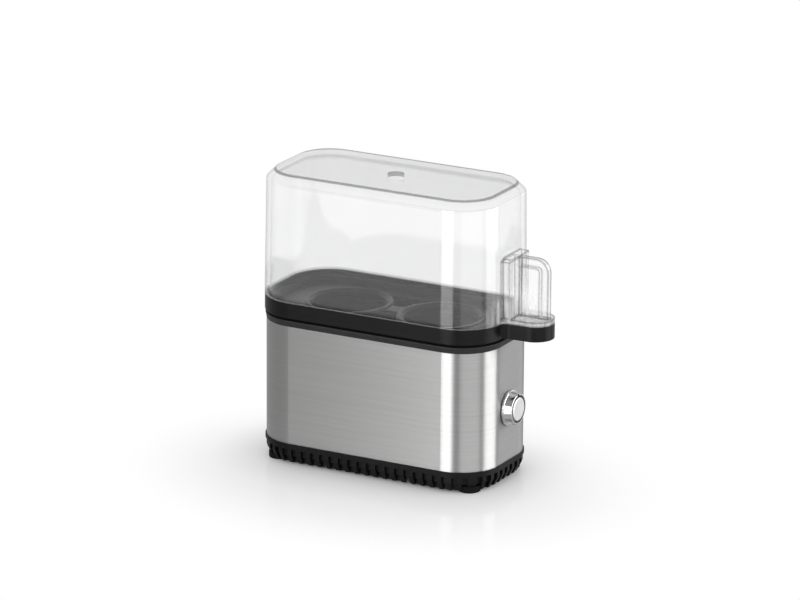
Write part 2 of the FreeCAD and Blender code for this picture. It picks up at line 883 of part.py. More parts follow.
# Mains inlet gland through the tab of the base at the back, with its nut inside
def make_cord_gland():
    shape = rod_y(gland_barrel, gland_inner_y, sleeve_face_y, gland_x, gland_z)
    flange = rod_y(
        gland_flange, sleeve_face_y, sleeve_face_y + gland_flange_height, gland_x, gland_z
    )
    outer = [e for e in flange.Edges if e.BoundBox.YMin > sleeve_face_y + OVER]
    flange = flange.makeFillet(gland_flange_height / 2, outer)
    bore_end = sleeve_face_y + gland_flange_height + OVER
    return shape.fuse(flange).cut(rod_y(gland_bore, gland_inner_y - OVER, bore_end, gland_x, gland_z))


def make_gland_nut():
    nut_y = inlet_tab_y - gland_nut_thickness
    shape = hexagon(gland_nut_flats, gland_x, nut_y, gland_z, gland_nut_thickness, AXIS_Y)
    bore = gland_barrel + 2 * screw_gap
    return shape.cut(rod_y(bore, nut_y - OVER, sleeve_face_y, gland_x, gland_z))


# Terminal block on the base floor under the gland
def make_terminal_block():
    half = block_length / 2
    top = base_floor_top + block_height
    back = block_front_y + block_depth
    shape = block(block_x - half, block_x + half, block_front_y, back, base_floor_top, top)
    for i in (-1, 0, 1):
        x = block_x + i * block_pole_pitch
        y = block_front_y + block_depth / 2
        shape = shape.cut(rod(block_screw + slide_gap, x, y, top - 2 * block_screw_height, top + OVER))
    return shape


def make_terminal_screws():
    screws = []
    top = base_floor_top + block_height
    for i in (-1, 0, 1):
        x = block_x + i * block_pole_pitch
        y = block_front_y + block_depth / 2
        z0 = top - 2 * block_screw_height
        head = rod(block_screw, x, y, z0, z0 + block_screw_height)
        half = cross_width / 2
        slot = block(x - half, x + half, y - block_screw, y + block_screw, z0 + half, top)
        screws.append(head.cut(slot))
    return Part.makeCompound(screws)


# Internal wires, each from terminal to terminal
def make_live_wire():
    high = switch_z + terminal_offset
    route = [
        (pole_live_x, block_front_y, wire_low_z),
        (pole_live_x, terminal_offset, wire_low_z),
        (riser_x, terminal_offset, wire_low_z),
        (riser_x, terminal_offset, high),
        (switch_lead_x, terminal_offset, high),
    ]
    return bent_wire(route, wire_diameter, wire_bend)


def make_neutral_wire():
    route = [
        (pole_neutral_x, block_front_y, wire_mid_z),
        (pole_neutral_x, -tube_bend, wire_mid_z),
        (pin_x, -tube_bend, wire_mid_z),
        (pin_x, -tube_bend, tube_pin_bottom),
    ]
    return bent_wire(route, wire_diameter, wire_bend)


def make_switched_wire():
    low = switch_z - terminal_offset
    route = [
        (switch_lead_x, -terminal_offset, low),
        (riser_x - 2 * wire_bend, -terminal_offset, low),
        (0, 0, switched_z),
        (blade_near_x, 0, switched_z),
        (blade_near_x, 0, blade_bottom),
    ]
    return bent_wire(route, wire_diameter, wire_bend)


def make_thermostat_wire():
    route = [
        (blade_far_x, 0, blade_bottom),
        (blade_far_x, 0, link_z),
        (blade_far_x, -link_y, link_z),
        (fuse_x, -link_y, link_z),
        (fuse_x, -link_y, fuse_z),
        (fuse_x, -fuse_lead_end, fuse_z),
    ]
    return bent_wire(route, wire_diameter, wire_bend)


def make_fuse_wire():
    route = [
        (fuse_x, fuse_lead_end, fuse_z),
        (fuse_x, link_y, fuse_z),
        (fuse_x, link_y, link_z),
        (pin_x, link_y, link_z),
        (pin_x, tube_bend, link_z),
        (pin_x, tube_bend, tube_pin_bottom),
    ]
    return bent_wire(route, wire_diameter, wire_bend)


def make_earth_wire():
    route = [
        (block_x, block_front_y, wire_mid_z),
        (block_x, -earth_y, wire_mid_z),
        (earth_x, -earth_y, wire_mid_z),
        (earth_x, -earth_y, earth_z),
        (earth_x, -plate_width / 2, earth_z),
    ]
    return bent_wire(route, wire_diameter, wire_bend)


# Egg tray: shallow moulding with two egg seats, steam openings and a lifting tab
def make_egg_tray():
    floor_bottom = tray_floor_top - tray_floor
    shape = slab(band_over, band_bottom, rim_top)
    shape = shape.fuse(flared_tongue(band_over, tab_end_x, tab_bottom, rim_top)).removeSplitter()
    edges = level_edges(shape, rim_top) + level_edges(shape, band_bottom)
    shape = shape.makeFillet(tray_edge, edges)
    hollow = tongue(
        straight_x,
        tab_end_x - tab_wall,
        handle_half - tab_wall,
        tab_corner - tab_wall,
        band_bottom - OVER,
        rim_top - tab_wall,
    )
    shape = shape.cut(hollow.cut(slab(0, band_bottom - OVER, rim_top)))
    shape = shape.cut(bowl_solid(band_inner, tray_floor_top, rim_top + OVER, tray_fillet))
    shape = shape.cut(slab(band_over - rim_lip, rim_top - rim_rabbet, rim_top + OVER))
    shape = shape.cut(slab(band_inner, band_bottom - OVER, floor_bottom))
    foot_bottom = flange_top + tray_foot_gap
    foot_inner = -tray_foot_inset - tray_foot_wall
    shape = shape.fuse(ring(-tray_foot_inset, foot_inner, foot_bottom, floor_bottom))
    for x in (-egg_hole_x, egg_hole_x):
        lip = egg_hole_diameter + 2 * egg_lip
        shape = shape.fuse(rod(lip, x, 0, floor_bottom, egg_lip_top))
        shape = shape.cut(rod(egg_hole_diameter, x, 0, foot_bottom, rim_top))
        seat = Part.makeCone(
            egg_hole_diameter / 2,
            egg_seat_diameter / 2,
            egg_seat_depth,
            V(x, 0, egg_lip_top - egg_seat_depth),
            AXIS_Z,
        )
        shape = shape.cut(seat)
    for sign in (-1, 1):
        shape = shape.cut(steam_opening(sign))
    return shape.removeSplitter()


def steam_opening(sign):
    """A curved triangle between the two egg seats, on one side of the web."""
    low, high = band_bottom, rim_top
    y0, y1 = sorted((sign * steam_web, sign * steam_edge))
    shape = block(-steam_half_length, steam_half_length, y0, y1, low, high)
    for x in (-egg_hole_x, egg_hole_x):
        shape = shape.cut(rod(2 * steam_ring, x, 0, low - OVER, high + OVER))
    return shape.makeFillet(steam_corner, upright_edges(shape))


# Lid: clear drafted cover with a locating rib, a grip bay, a fin and a flange
def make_lid():
    shape = lid_cover(lid_over, 0, lid_top, lid_chamfer)
    bay = tongue(handle_root_x, bay_face_x, handle_half, bay_corner, lid_bottom, bay_top)
    flange_top_z = lid_bottom + flange_thickness
    flange = flared_tongue(lid_over, tab_end_x, lid_bottom, flange_top_z)
    shape = shape.fuse(bay).fuse(flange).fuse(lid_fin())
    inner_chamfer = lid_chamfer - lid_wall * (2 - math.sqrt(2))
    shape = shape.cut(lid_cover(lid_inner, -lid_wall, lid_top - lid_wall, inner_chamfer))
    bay_hollow = tongue(
        handle_root_x,
        bay_face_x - lid_wall,
        handle_half - lid_wall,
        bay_inner_corner,
        lid_bottom - OVER,
        bay_top - lid_wall,
    )
    shape = shape.cut(bay_hollow)
    shape = shape.fuse(ring(rib_outer, lid_inner, rib_bottom, lid_bottom))
    shape = shape.cut(rod(lid_vent, 0, 0, lid_top - 2 * lid_wall, lid_top + OVER))
    return shape.removeSplitter()


def lid_cover(bottom_offset, top_offset, top, chamfer):
    """A drafted block with a chamfer all round its top, softened along both edges."""
    knee = top - chamfer
    share = (knee - lid_bottom) / (top - lid_bottom)
    knee_offset = bottom_offset + (top_offset - bottom_offset) * share
    shape = taper(bottom_offset, lid_bottom, knee_offset, knee)
    shape = shape.fuse(taper(knee_offset, knee, top_offset - chamfer, top)).removeSplitter()
    return shape.makeFillet(lid_top_edge, level_edges(shape, knee) + level_edges(shape, top))


def lid_fin():
    """The upright fin in the middle plane, thicker along its free edge."""
    fin = fin_plate(fin_end_x, fin_top, fin_corner, fin_thickness)
    border = fin_plate(fin_end_x, fin_top, fin_corner, fin_border_thickness)
    window = fin_plate(
        fin_end_x - fin_border,
        fin_top - fin_border,
        fin_corner - fin_border,
        fin_border_thickness + OVER,
    )
    return fin.fuse(border.cut(window))


def fin_plate(end_x, top, corner, thickness):
    root_x = bay_face_x - lid_wall / 2
    half = thickness / 2
    plate = block(root_x, end_x, -half, half, lid_bottom, top)
    chosen = []
    for edge in plate.Edges:
        box = edge.BoundBox
        if box.XMin > end_x - 1e-4 and box.ZMin > top - 1e-4:
            chosen.append(edge)
    return plate.makeFillet(corner, chosen)


PIECES = {
    "base": make_base,
    "feet": make_feet,
    "base_screws": make_base_screws,
    "steel_sleeve": make_sleeve,
    "top_frame": make_top_frame,
    "dish_gasket": make_dish_gasket,
    "heating_dish": make_heating_dish,
    "dish_screws": make_dish_screws,
    "heater_plate": make_heater_plate,
    "heating_element": make_heating_element,
    "element_clamps": make_element_clamps,
    "heater_screws": make_heater_screws,
    "thermostat": make_thermostat,
    "thermostat_bracket": make_thermostat_bracket,
    "thermal_fuse": make_thermal_fuse,
    "switch_gasket": make_switch_gasket,
    "switch_bezel": make_switch_bezel,
    "switch_washer": make_switch_washer,
    "switch_nut": make_switch_nut,
    "switch_body": make_switch_body,
    "switch_terminals": make_switch_terminals,
    "switch_spring": make_switch_spring,
    "switch_cap": make_switch_cap,
    "cord_gland": make_cord_gland,
    "gland_nut": make_gland_nut,
    "terminal_block": make_terminal_block,
    "terminal_screws": make_terminal_screws,
    "live_wire": make_live_wire,
    "neutral_wire": make_neutral_wire,
    "switched_wire": make_switched_wire,
    "thermostat_wire": make_thermostat_wire,
    "fuse_wire": make_fuse_wire,
    "earth_wire": make_earth_wire,
    "egg_tray": make_egg_tray,
    "lid": make_lid,
}

os.makedirs("parts", exist_ok=True)
for name, make in PIECES.items():
    make().exportStep(os.path.join("parts", name + ".step"))
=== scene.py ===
import bpy
import math
from mathutils import Matrix, Vector


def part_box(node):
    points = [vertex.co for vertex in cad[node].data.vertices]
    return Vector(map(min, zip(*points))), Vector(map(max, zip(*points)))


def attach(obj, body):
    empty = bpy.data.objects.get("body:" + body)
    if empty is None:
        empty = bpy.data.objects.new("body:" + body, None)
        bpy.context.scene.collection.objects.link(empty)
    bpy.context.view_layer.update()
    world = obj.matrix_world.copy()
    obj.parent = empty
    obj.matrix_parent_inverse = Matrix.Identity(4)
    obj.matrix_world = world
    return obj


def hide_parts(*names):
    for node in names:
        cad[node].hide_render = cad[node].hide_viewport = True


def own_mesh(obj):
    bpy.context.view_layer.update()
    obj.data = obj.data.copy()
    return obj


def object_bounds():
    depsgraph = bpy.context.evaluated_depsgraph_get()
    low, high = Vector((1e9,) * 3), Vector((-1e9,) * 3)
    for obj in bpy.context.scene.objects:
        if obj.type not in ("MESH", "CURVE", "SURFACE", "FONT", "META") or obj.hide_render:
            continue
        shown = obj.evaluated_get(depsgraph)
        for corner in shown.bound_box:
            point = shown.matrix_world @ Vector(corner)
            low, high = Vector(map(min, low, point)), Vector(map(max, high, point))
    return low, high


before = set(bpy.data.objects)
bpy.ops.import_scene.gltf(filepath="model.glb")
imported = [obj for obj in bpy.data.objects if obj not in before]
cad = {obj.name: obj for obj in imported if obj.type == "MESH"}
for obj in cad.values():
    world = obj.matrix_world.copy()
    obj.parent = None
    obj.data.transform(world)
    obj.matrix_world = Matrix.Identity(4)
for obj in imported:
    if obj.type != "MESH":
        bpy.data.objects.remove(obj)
cad_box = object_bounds()


# Base: one black moulding with a fluted skirt, a thin lip under the steel and a floor.
# It is injection moulded in a satin plastic with a fine spark texture, and four screws
# from below draw it up against the posts of the top frame.
def put(tree, kind, inputs=None, **settings):
    """Adds a shader node, sets it, and links or fills the inputs named."""
    made = tree.nodes.new(kind)
    for key, value in settings.items():
        setattr(made, key, value)
    for key, value in (inputs or {}).items():
        if isinstance(value, bpy.types.NodeSocket):
            tree.links.new(value, made.inputs[key])
        else:
            made.inputs[key].default_value = value
    return made


def new_group(name, inputs, outputs):
    """An empty shader node group with float inputs and float outputs."""
    group = bpy.data.node_groups.new(name, "ShaderNodeTree")
    for label, value in inputs.items():
        socket = group.interface.new_socket(label, in_out="INPUT", socket_type="NodeSocketFloat")
        socket.default_value = value
    for label in outputs:
        group.interface.new_socket(label, in_out="OUTPUT", socket_type="NodeSocketFloat")
    given = group.nodes.new("NodeGroupInput")
    result = group.nodes.new("NodeGroupOutput")
    return group, given, result


def math_node(tree, operation, first, second):
    """The sum, product or other result of two values."""
    return put(tree, "ShaderNodeMath", {0: first, 1: second}, operation=operation).outputs[0]


def object_place(tree):
    """The point on the piece, in metres."""
    return put(tree, "ShaderNodeTexCoord").outputs["Object"]


def noise(tree, place, scale, detail, roughness=0.5):
    """A cloudy 0 to 1 value."""
    inputs = {"Vector": place, "Scale": scale, "Detail": detail, "Roughness": roughness}
    return put(tree, "ShaderNodeTexNoise", inputs).outputs["Fac"]


spark_texture, given, result = new_group(
    "spark_texture", {"Grain": 2600.0, "Cloud": 30.0}, ["Height", "Cloud"]
)
place = object_place(spark_texture)
grain = noise(spark_texture, place, given.outputs["Grain"], 2.0, 0.6)
cloud = noise(spark_texture, place, given.outputs["Cloud"], 4.0, 0.55)
spark_texture.links.new(grain, result.inputs["Height"])
spark_texture.links.new(cloud, result.inputs["Cloud"])

edge_mask, given, result = new_group("edge_mask", {"Reach": 0.0006, "Full": 0.8}, ["Edge"])
rounded = put(edge_mask, "ShaderNodeBevel", {"Radius": given.outputs["Reach"]}, samples=6)
flat = put(edge_mask, "ShaderNodeNewGeometry")
likeness = put(
    edge_mask,
    "ShaderNodeVectorMath",
    {0: rounded.outputs["Normal"], 1: flat.outputs["Normal"]},
    operation="DOT_PRODUCT",
).outputs["Value"]
edge = put(
    edge_mask,
    "ShaderNodeMapRange",
    {"Value": likeness, "From Min": 0.98, "From Max": given.outputs["Full"]},
).outputs["Result"]
edge_mask.links.new(edge, result.inputs["Edge"])


def span(tree, value, low, high):
    """Spreads a 0 to 1 value between two numbers."""
    return put(
        tree, "ShaderNodeMapRange", {"Value": value, "To Min": low, "To Max": high}
    ).outputs["Result"]


def shade(tree, value, dark, pale):
    """Blends two colours by a 0 to 1 value."""
    ramp = put(tree, "ShaderNodeValToRGB", {"Fac": value})
    ramp.color_ramp.elements[0].color = (*dark, 1.0)
    ramp.color_ramp.elements[1].color = (*pale, 1.0)
    return ramp.outputs["Color"]


def new_finish(name):
    """A new material, with its node tree and its shader."""
    finish = bpy.data.materials.new(name)
    finish.use_nodes = True
    return finish, finish.node_tree, finish.node_tree.nodes["Principled BSDF"]


def relief(tree, shader, height, strength, depth, edge_radius=None):
    """Raises the surface by a 0 to 1 height, over edges softened to a radius."""
    inputs = {"Strength": strength, "Distance": depth, "Height": height}
    if edge_radius:
        soft_edge = put(tree, "ShaderNodeBevel", {"Radius": edge_radius}, samples=6)
        inputs["Normal"] = soft_edge.outputs["Normal"]
    bump = put(tree, "ShaderNodeBump", inputs)
    tree.links.new(bump.outputs["Normal"], shader.inputs["Normal"])


def moulded_plastic(name, dark, pale, rough, grain, depth, shine=0.5):
    """Moulded plastic: fine spark texture, cloudy gloss and edges made a little paler, partly as
    rubbed wear and partly as a painted highlight.
    """
    finish, tree, shader = new_finish(name)
    shader.inputs["Specular IOR Level"].default_value = shine
    skin = put(tree, "ShaderNodeGroup", {}, node_tree=spark_texture)
    skin.inputs["Grain"].default_value = grain
    cloud = skin.outputs["Cloud"]
    worn_and_lit_edge = put(tree, "ShaderNodeGroup", {}, node_tree=edge_mask).outputs["Edge"]
    wear_and_highlight = math_node(tree, "MULTIPLY", worn_and_lit_edge, cloud)
    tone = math_node(tree, "ADD", math_node(tree, "MULTIPLY", cloud, 0.5), wear_and_highlight)
    tree.links.new(shade(tree, tone, dark, pale), shader.inputs["Base Color"])
    tree.links.new(span(tree, cloud, rough - 0.07, rough + 0.07), shader.inputs["Roughness"])
    relief(tree, shader, skin.outputs["Height"], 0.5, depth, edge_radius=0.0003)
    return finish


def dress(finish, *names):
    """Gives the CAD nodes named a finish."""
    for name in names:
        cad[name].data.materials.clear()
        cad[name].data.materials.append(finish)


base_black = moulded_plastic(
    "base_black",
    dark=(0.0025, 0.0025, 0.0028),
    pale=(0.014, 0.014, 0.015),
    rough=0.42,
    grain=2600,
    depth=0.00003,
    shine=0.12,
)
dress(base_black, "base")


# Feet: four soft rubber buttons, each moulded with a stem and a barb.
# They are pushed through holes in the floor of the base until the barbs hold.
foot_black = moulded_plastic(
    "foot_black",
    dark=(0.002, 0.002, 0.002),
    pale=(0.01, 0.01, 0.01),
    rough=0.8,
    grain=1800,
    depth=0.00006,
    shine=0.12,
)
dress(foot_black, "feet")


# Screws: small cross-head screws in bright zinc, cold headed and rolled.
# They hold the base to the posts, the dish to the deck and the heater to its plate.
def stretched(tree, place, scale, shift=(0.0, 0.0, 0.0)):
    """The point on the piece, scaled along each axis and then shifted."""
    inputs = {"Vector": place, "Scale": scale, "Location": shift}
    return put(tree, "ShaderNodeMapping", inputs).outputs["Vector"]


def metal(name, dark, pale, rough, scale, stretch):
    """Bare or plated metal: drawn streaks, uneven gloss and edges made brighter, partly as rubbed
    wear and partly as a painted highlight.
    """
    finish, tree, shader = new_finish(name)
    shader.inputs["Metallic"].default_value = 1.0
    streak = noise(tree, stretched(tree, object_place(tree), stretch), scale, 3.0, 0.6)
    worn_and_lit_edge = put(tree, "ShaderNodeGroup", {}, node_tree=edge_mask).outputs["Edge"]
    tone = math_node(tree, "ADD", streak, math_node(tree, "MULTIPLY", worn_and_lit_edge, 0.3))
    tree.links.new(shade(tree, tone, dark, pale), shader.inputs["Base Color"])
    tree.links.new(span(tree, streak, rough - 0.08, rough + 0.08), shader.inputs["Roughness"])
    relief(tree, shader, streak, 0.15, 0.00002, edge_radius=0.0003)
    return finish


bright_zinc = metal(
    "bright_zinc",
    dark=(0.5, 0.5, 0.5),
    pale=(0.75, 0.75, 0.74),
    rough=0.3,
    scale=900,
    stretch=(1, 1, 1),
)
dress(bright_zinc, "base_screws", "dish_screws", "heater_screws")


# Steel sleeve: one band of half-millimetre stainless sheet round the body, brushed along
# its length, held between the lip of the base and the ring of the top frame.
steel, tree, shader = new_finish("brushed_sleeve")
place = object_place(tree)
fine_lines = noise(tree, stretched(tree, place, (28, 28, 5200)), 1.0, 3.0, 0.65)
coarse_lines = noise(tree, stretched(tree, place, (9, 9, 900)), 1.0, 2.0, 0.5)
lines = math_node(
    tree,
    "ADD",
    math_node(tree, "MULTIPLY", fine_lines, 0.65),
    math_node(tree, "MULTIPLY", coarse_lines, 0.35),
)
brushed = shade(tree, lines, (0.35, 0.35, 0.35), (0.56, 0.56, 0.555))
tree.links.new(brushed, shader.inputs["Base Color"])
tree.links.new(span(tree, lines, 0.32, 0.48), shader.inputs["Roughness"])
shader.inputs["Metallic"].default_value = 1.0
shader.inputs["Anisotropic"].default_value = 0.93
shader.inputs["Anisotropic Rotation"].default_value = 0.25
round_body = put(tree, "ShaderNodeTangent", direction_type="RADIAL", axis="Z")
tree.links.new(round_body.outputs["Tangent"], shader.inputs["Tangent"])
relief(tree, shader, lines, 0.12, 0.00002)
dress(steel, "steel_sleeve")


# Top frame: black moulding that caps the steel with a flared ring and carries the dish.
# Its four long posts take the screws from below.
frame_black = moulded_plastic(
    "frame_black",
    dark=(0.008, 0.008, 0.0084),
    pale=(0.04, 0.04, 0.041),
    rough=0.42,
    grain=2600,
    depth=0.00003,
    shine=0.32,
)
dress(frame_black, "top_frame")


# Dish gasket: a flat ring of grey silicone, cut from sheet.
# It lies on the deck of the top frame, pinched under the flange of the dish.
grey_silicone = moulded_plastic(
    "grey_silicone",
    dark=(0.3, 0.3, 0.29),
    pale=(0.5, 0.5, 0.48),
    rough=0.65,
    grain=1500,
    depth=0.00005,
)
dress(grey_silicone, "dish_gasket")


# Heating dish: pressed sheet with a dark non-stick coat, sprayed and baked, rough to the touch.
# The water boils in it; it is screwed down through its flange on to the gasket.
dish_coat = moulded_plastic(
    "dish_coat",
    dark=(0.002, 0.002, 0.002),
    pale=(0.012, 0.012, 0.012),
    rough=0.55,
    grain=1200,
    depth=0.00004,
    shine=0.08,
)
dress(dish_coat, "heating_dish")


# Heater under the dish: cast aluminium plate, drawn tubular element and plated clamps.
# The clamps, the thermostat bracket and the switch washer are stamped from zinc-plated strip.
cast_aluminium = metal(
    "cast_aluminium",
    dark=(0.45, 0.45, 0.45),
    pale=(0.7, 0.7, 0.7),
    rough=0.5,
    scale=700,
    stretch=(1, 1, 1),
)
dress(cast_aluminium, "heater_plate")
drawn_tube = metal(
    "drawn_tube",
    dark=(0.2, 0.18, 0.16),
    pale=(0.42, 0.39, 0.36),
    rough=0.42,
    scale=400,
    stretch=(0.1, 1, 1),
)
dress(drawn_tube, "heating_element")
plated_strip = metal(
    "plated_strip",
    dark=(0.48, 0.48, 0.46),
    pale=(0.68, 0.68, 0.65),
    rough=0.34,
    scale=600,
    stretch=(1, 0.1, 1),
)
dress(plated_strip, "element_clamps", "thermostat_bracket", "switch_washer")


# Thermostat and thermal fuse: a moulded resin case and a coated cartridge.
# Both sit against the underside of the heater plate and break the circuit when it runs dry.
brown_resin = moulded_plastic(
    "brown_resin",
    dark=(0.05, 0.035, 0.02),
    pale=(0.16, 0.12, 0.08),
    rough=0.5,
    grain=2000,
    depth=0.00004,
)
dress(brown_resin, "thermostat")
pale_coating = moulded_plastic(
    "pale_coating",
    dark=(0.55, 0.55, 0.5),
    pale=(0.75, 0.75, 0.7),
    rough=0.35,
    grain=2200,
    depth=0.00003,
)
dress(pale_coating, "thermal_fuse")


# Push switch: polished chrome bezel, satin button, black sealing ring, brass nut behind.
# It is a panel switch, pushed through the end of the steel and drawn tight from inside.
def between(tree, value, none_at, full_at):
    """0 up to one value, 1 from another on, and a straight slope between them."""
    inputs = {"Value": value, "From Min": none_at, "From Max": full_at}
    return put(tree, "ShaderNodeMapRange", inputs).outputs["Result"]


def length_of(tree, vector):
    """The length of a vector."""
    return put(tree, "ShaderNodeVectorMath", {0: vector}, operation="LENGTH").outputs["Value"]


ring_black = moulded_plastic(
    "ring_black",
    dark=(0.006, 0.006, 0.006),
    pale=(0.02, 0.02, 0.02),
    rough=0.7,
    grain=1800,
    depth=0.00005,
)
dress(ring_black, "switch_gasket")

# Painted shade: a thin ring of the bezel face round the narrow bore is painted near black, where the
# gap round the button lies in shadow.
polished_chrome = metal(
    "polished_chrome",
    dark=(0.5, 0.5, 0.505),
    pale=(0.78, 0.78, 0.785),
    rough=0.1,
    scale=500,
    stretch=(0.2, 1, 1),
)
tree = polished_chrome.node_tree
shader = tree.nodes["Principled BSDF"]
plated = shader.inputs["Base Color"].links[0].from_socket
heights = [corner[2] for corner in cad["switch_cap"].bound_box]
switch_z = (min(heights) + max(heights)) / 2
bore_radius = 0.0065
bore_fade = 0.0004
across = stretched(tree, object_place(tree), (0.0, 1.0, 1.0), (0.0, 0.0, -switch_z))
painted_bore_shade = between(tree, length_of(tree, across), bore_radius + bore_fade, bore_radius)
bore_painted_dark = put(
    tree,
    "ShaderNodeMix",
    {0: painted_bore_shade, 6: plated, 7: (0.012, 0.012, 0.012, 1.0)},
    data_type="RGBA",
)
tree.links.new(bore_painted_dark.outputs[2], shader.inputs["Base Color"])
dress(polished_chrome, "switch_bezel")

satin_chrome = metal(
    "satin_chrome",
    dark=(0.72, 0.72, 0.723),
    pale=(0.95, 0.95, 0.95),
    rough=0.42,
    scale=900,
    stretch=(1, 1, 0.1),
)
dress(satin_chrome, "switch_cap")
turned_brass = metal(
    "turned_brass",
    dark=(0.5, 0.36, 0.13),
    pale=(0.72, 0.58, 0.28),
    rough=0.32,
    scale=900,
    stretch=(6, 1, 1),
)
dress(turned_brass, "switch_nut", "switch_terminals", "terminal_screws")
switch_black = moulded_plastic(
    "switch_black",
    dark=(0.01, 0.01, 0.01),
    pale=(0.04, 0.04, 0.04),
    rough=0.45,
    grain=2200,
    depth=0.00004,
)
dress(switch_black, "switch_body")


# Return spring: three and a half turns of drawn steel wire between the barrel and the button.
# It stands on the barrel's end, and its coils close up as the button goes in.
spring_wire = metal(
    "spring_wire",
    dark=(0.38, 0.38, 0.38),
    pale=(0.6, 0.6, 0.6),
    rough=0.3,
    scale=700,
    stretch=(0.2, 1, 1),
)
dress(spring_wire, "switch_spring")
return_spring = bpy.data.objects.new("return_spring", cad["switch_spring"].data.copy())
bpy.context.scene.collection.objects.link(return_spring)
return_spring.matrix_world = cad["switch_spring"].matrix_world
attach(return_spring, "body")
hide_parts("switch_spring")
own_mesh(return_spring)


# Mains inlet gland: a black nylon bush with a rounded flange, injection moulded.
# It goes through a tab of the base in a notch of the steel, and a nut inside tightens it.
nylon_black = moulded_plastic(
    "nylon_black",
    dark=(0.008, 0.008, 0.008),
    pale=(0.035, 0.035, 0.035),
    rough=0.5,
    grain=1800,
    depth=0.00005,
)
dress(nylon_black, "cord_gland", "gland_nut")


# Terminal block: natural nylon, moulded in one piece with three screw wells.
# It sits on the floor of the base by the gland, where the mains meets the inner wires.
natural_nylon = moulded_plastic(
    "natural_nylon",
    dark=(0.58, 0.58, 0.53),
    pale=(0.8, 0.8, 0.75),
    rough=0.42,
    grain=1500,
    depth=0.00005,
)
dress(natural_nylon, "terminal_block")


# Wires: stranded copper in extruded coloured insulation, the fuse's in a glass-fibre sleeve.
# They run inside the body from terminal to terminal.
for name, dark, pale, wires in (
    ("brown_wire", (0.12, 0.045, 0.018), (0.24, 0.1, 0.045), ["live_wire"]),
    ("blue_wire", (0.02, 0.07, 0.34), (0.05, 0.15, 0.55), ["neutral_wire"]),
    ("red_wire", (0.34, 0.02, 0.02), (0.55, 0.05, 0.05), ["switched_wire", "thermostat_wire"]),
    ("green_wire", (0.12, 0.34, 0.03), (0.26, 0.55, 0.08), ["earth_wire"]),
):
    insulation = moulded_plastic(name, dark, pale, rough=0.4, grain=1500, depth=0.00003)
    dress(insulation, *wires)
white_wire = moulded_plastic(
    "white_wire",
    dark=(0.55, 0.55, 0.52),
    pale=(0.8, 0.8, 0.77),
    rough=0.6,
    grain=2400,
    depth=0.00006,
)
dress(white_wire, "fuse_wire")


# Egg tray: black moulding with two egg seats, steam openings and a lifting tab.
# It lifts off the body, and its rim carries the lid.
tray_black = moulded_plastic(
    "tray_black",
    dark=(0.0022, 0.0022, 0.0024),
    pale=(0.011, 0.011, 0.0115),
    rough=0.34,
    grain=2600,
    depth=0.00003,
    shine=0.17,
)
dress(tray_black, "egg_tray")


# Lid: one clear moulding, drafted for the mould, with a bay, a fin and a flange as its grip
# and a round steam vent. It stands loose on the rim of the tray.
clear, tree, shader = new_finish("clear_lid")
skin = put(tree, "ShaderNodeGroup", {}, node_tree=spark_texture)
skin.inputs["Grain"].default_value = 220.0
skin.inputs["Cloud"].default_value = 18.0
tree.links.new(span(tree, skin.outputs["Cloud"], 0.005, 0.04), shader.inputs["Roughness"])
relief(tree, shader, skin.outputs["Height"], 0.05, 0.00005)
shader.inputs["Transmission Weight"].default_value = 1.0
shader.inputs["IOR"].default_value = 1.003
shader.inputs["Coat Weight"].default_value = 1.0
shader.inputs["Coat IOR"].default_value = 1.7
shader.inputs["Coat Roughness"].default_value = 0.06

# A wall seen at a slant has more plastic in the way, so it is a little darker.
slant = put(tree, "ShaderNodeLayerWeight", {"Blend": 0.5}).outputs["Facing"]
path_length = put(tree, "ShaderNodeValToRGB", {"Fac": slant})
path_length.color_ramp.elements[0].position = 0.45
path_length.color_ramp.elements[0].color = (0.99, 0.991, 0.992, 1.0)
path_length.color_ramp.elements[1].position = 0.9
path_length.color_ramp.elements[1].color = (0.8, 0.802, 0.804, 1.0)

# The rim of the top panel and the sharp edges are painted as grey lines, a painted shade standing in
# for the dark refraction through the plastic there.
place = object_place(tree)
along = put(tree, "ShaderNodeSeparateXYZ", {"Vector": place})
height = along.outputs["Z"]
lid_top = cad_box[1][2]
rim_depth = 0.002
below_top = math_node(tree, "SUBTRACT", lid_top, height)
panel_rim = put(tree, "ShaderNodeValToRGB", {"Fac": math_node(tree, "DIVIDE", below_top, rim_depth)})
rim_stops = panel_rim.color_ramp.elements
rim_stops[0].position = 0.01
rim_stops[0].color = (0.0, 0.0, 0.0, 1.0)
rim_stops[1].position = 0.62
rim_stops[1].color = (0.0, 0.0, 0.0, 1.0)
rim_stops.new(0.06).color = (1.0, 1.0, 1.0, 1.0)
rim_stops.new(0.45).color = (1.0, 1.0, 1.0, 1.0)
sharp = put(tree, "ShaderNodeGroup", {}, node_tree=edge_mask)
sharp.inputs["Reach"].default_value = 0.002
sharp.inputs["Full"].default_value = 0.93
edges = math_node(tree, "MAXIMUM", panel_rim.outputs["Color"], sharp.outputs["Edge"])

# The vent has no such lines; its wall is painted dark on its outer side, a painted shade where it is
# seen through the opening.
vent_radius = 0.004
from_vent = length_of(tree, stretched(tree, place, (1.0, 1.0, 0.0)))
clear_of_vent = between(tree, from_vent, vent_radius + 0.0025, vent_radius + 0.0035)
vent_wall = between(tree, from_vent, vent_radius + 0.0002, vent_radius + 0.00005)
inner_side = put(tree, "ShaderNodeNewGeometry").outputs["Backfacing"]
outer_side = math_node(tree, "SUBTRACT", 1.0, inner_side)
painted_line_mask = math_node(
    tree,
    "MAXIMUM",
    math_node(tree, "MULTIPLY", edges, clear_of_vent),
    math_node(tree, "MULTIPLY", vent_wall, outer_side),
)
# Both kinds of painted line darken the slant tint towards dark grey.
tint_and_painted_lines = put(
    tree,
    "ShaderNodeMix",
    {0: painted_line_mask, 6: path_length.outputs["Color"], 7: (0.16, 0.16, 0.16, 1.0)},
    data_type="RGBA",
    blend_type="MULTIPLY",
)
tree.links.new(tint_and_painted_lines.outputs[2], shader.inputs["Base Color"])
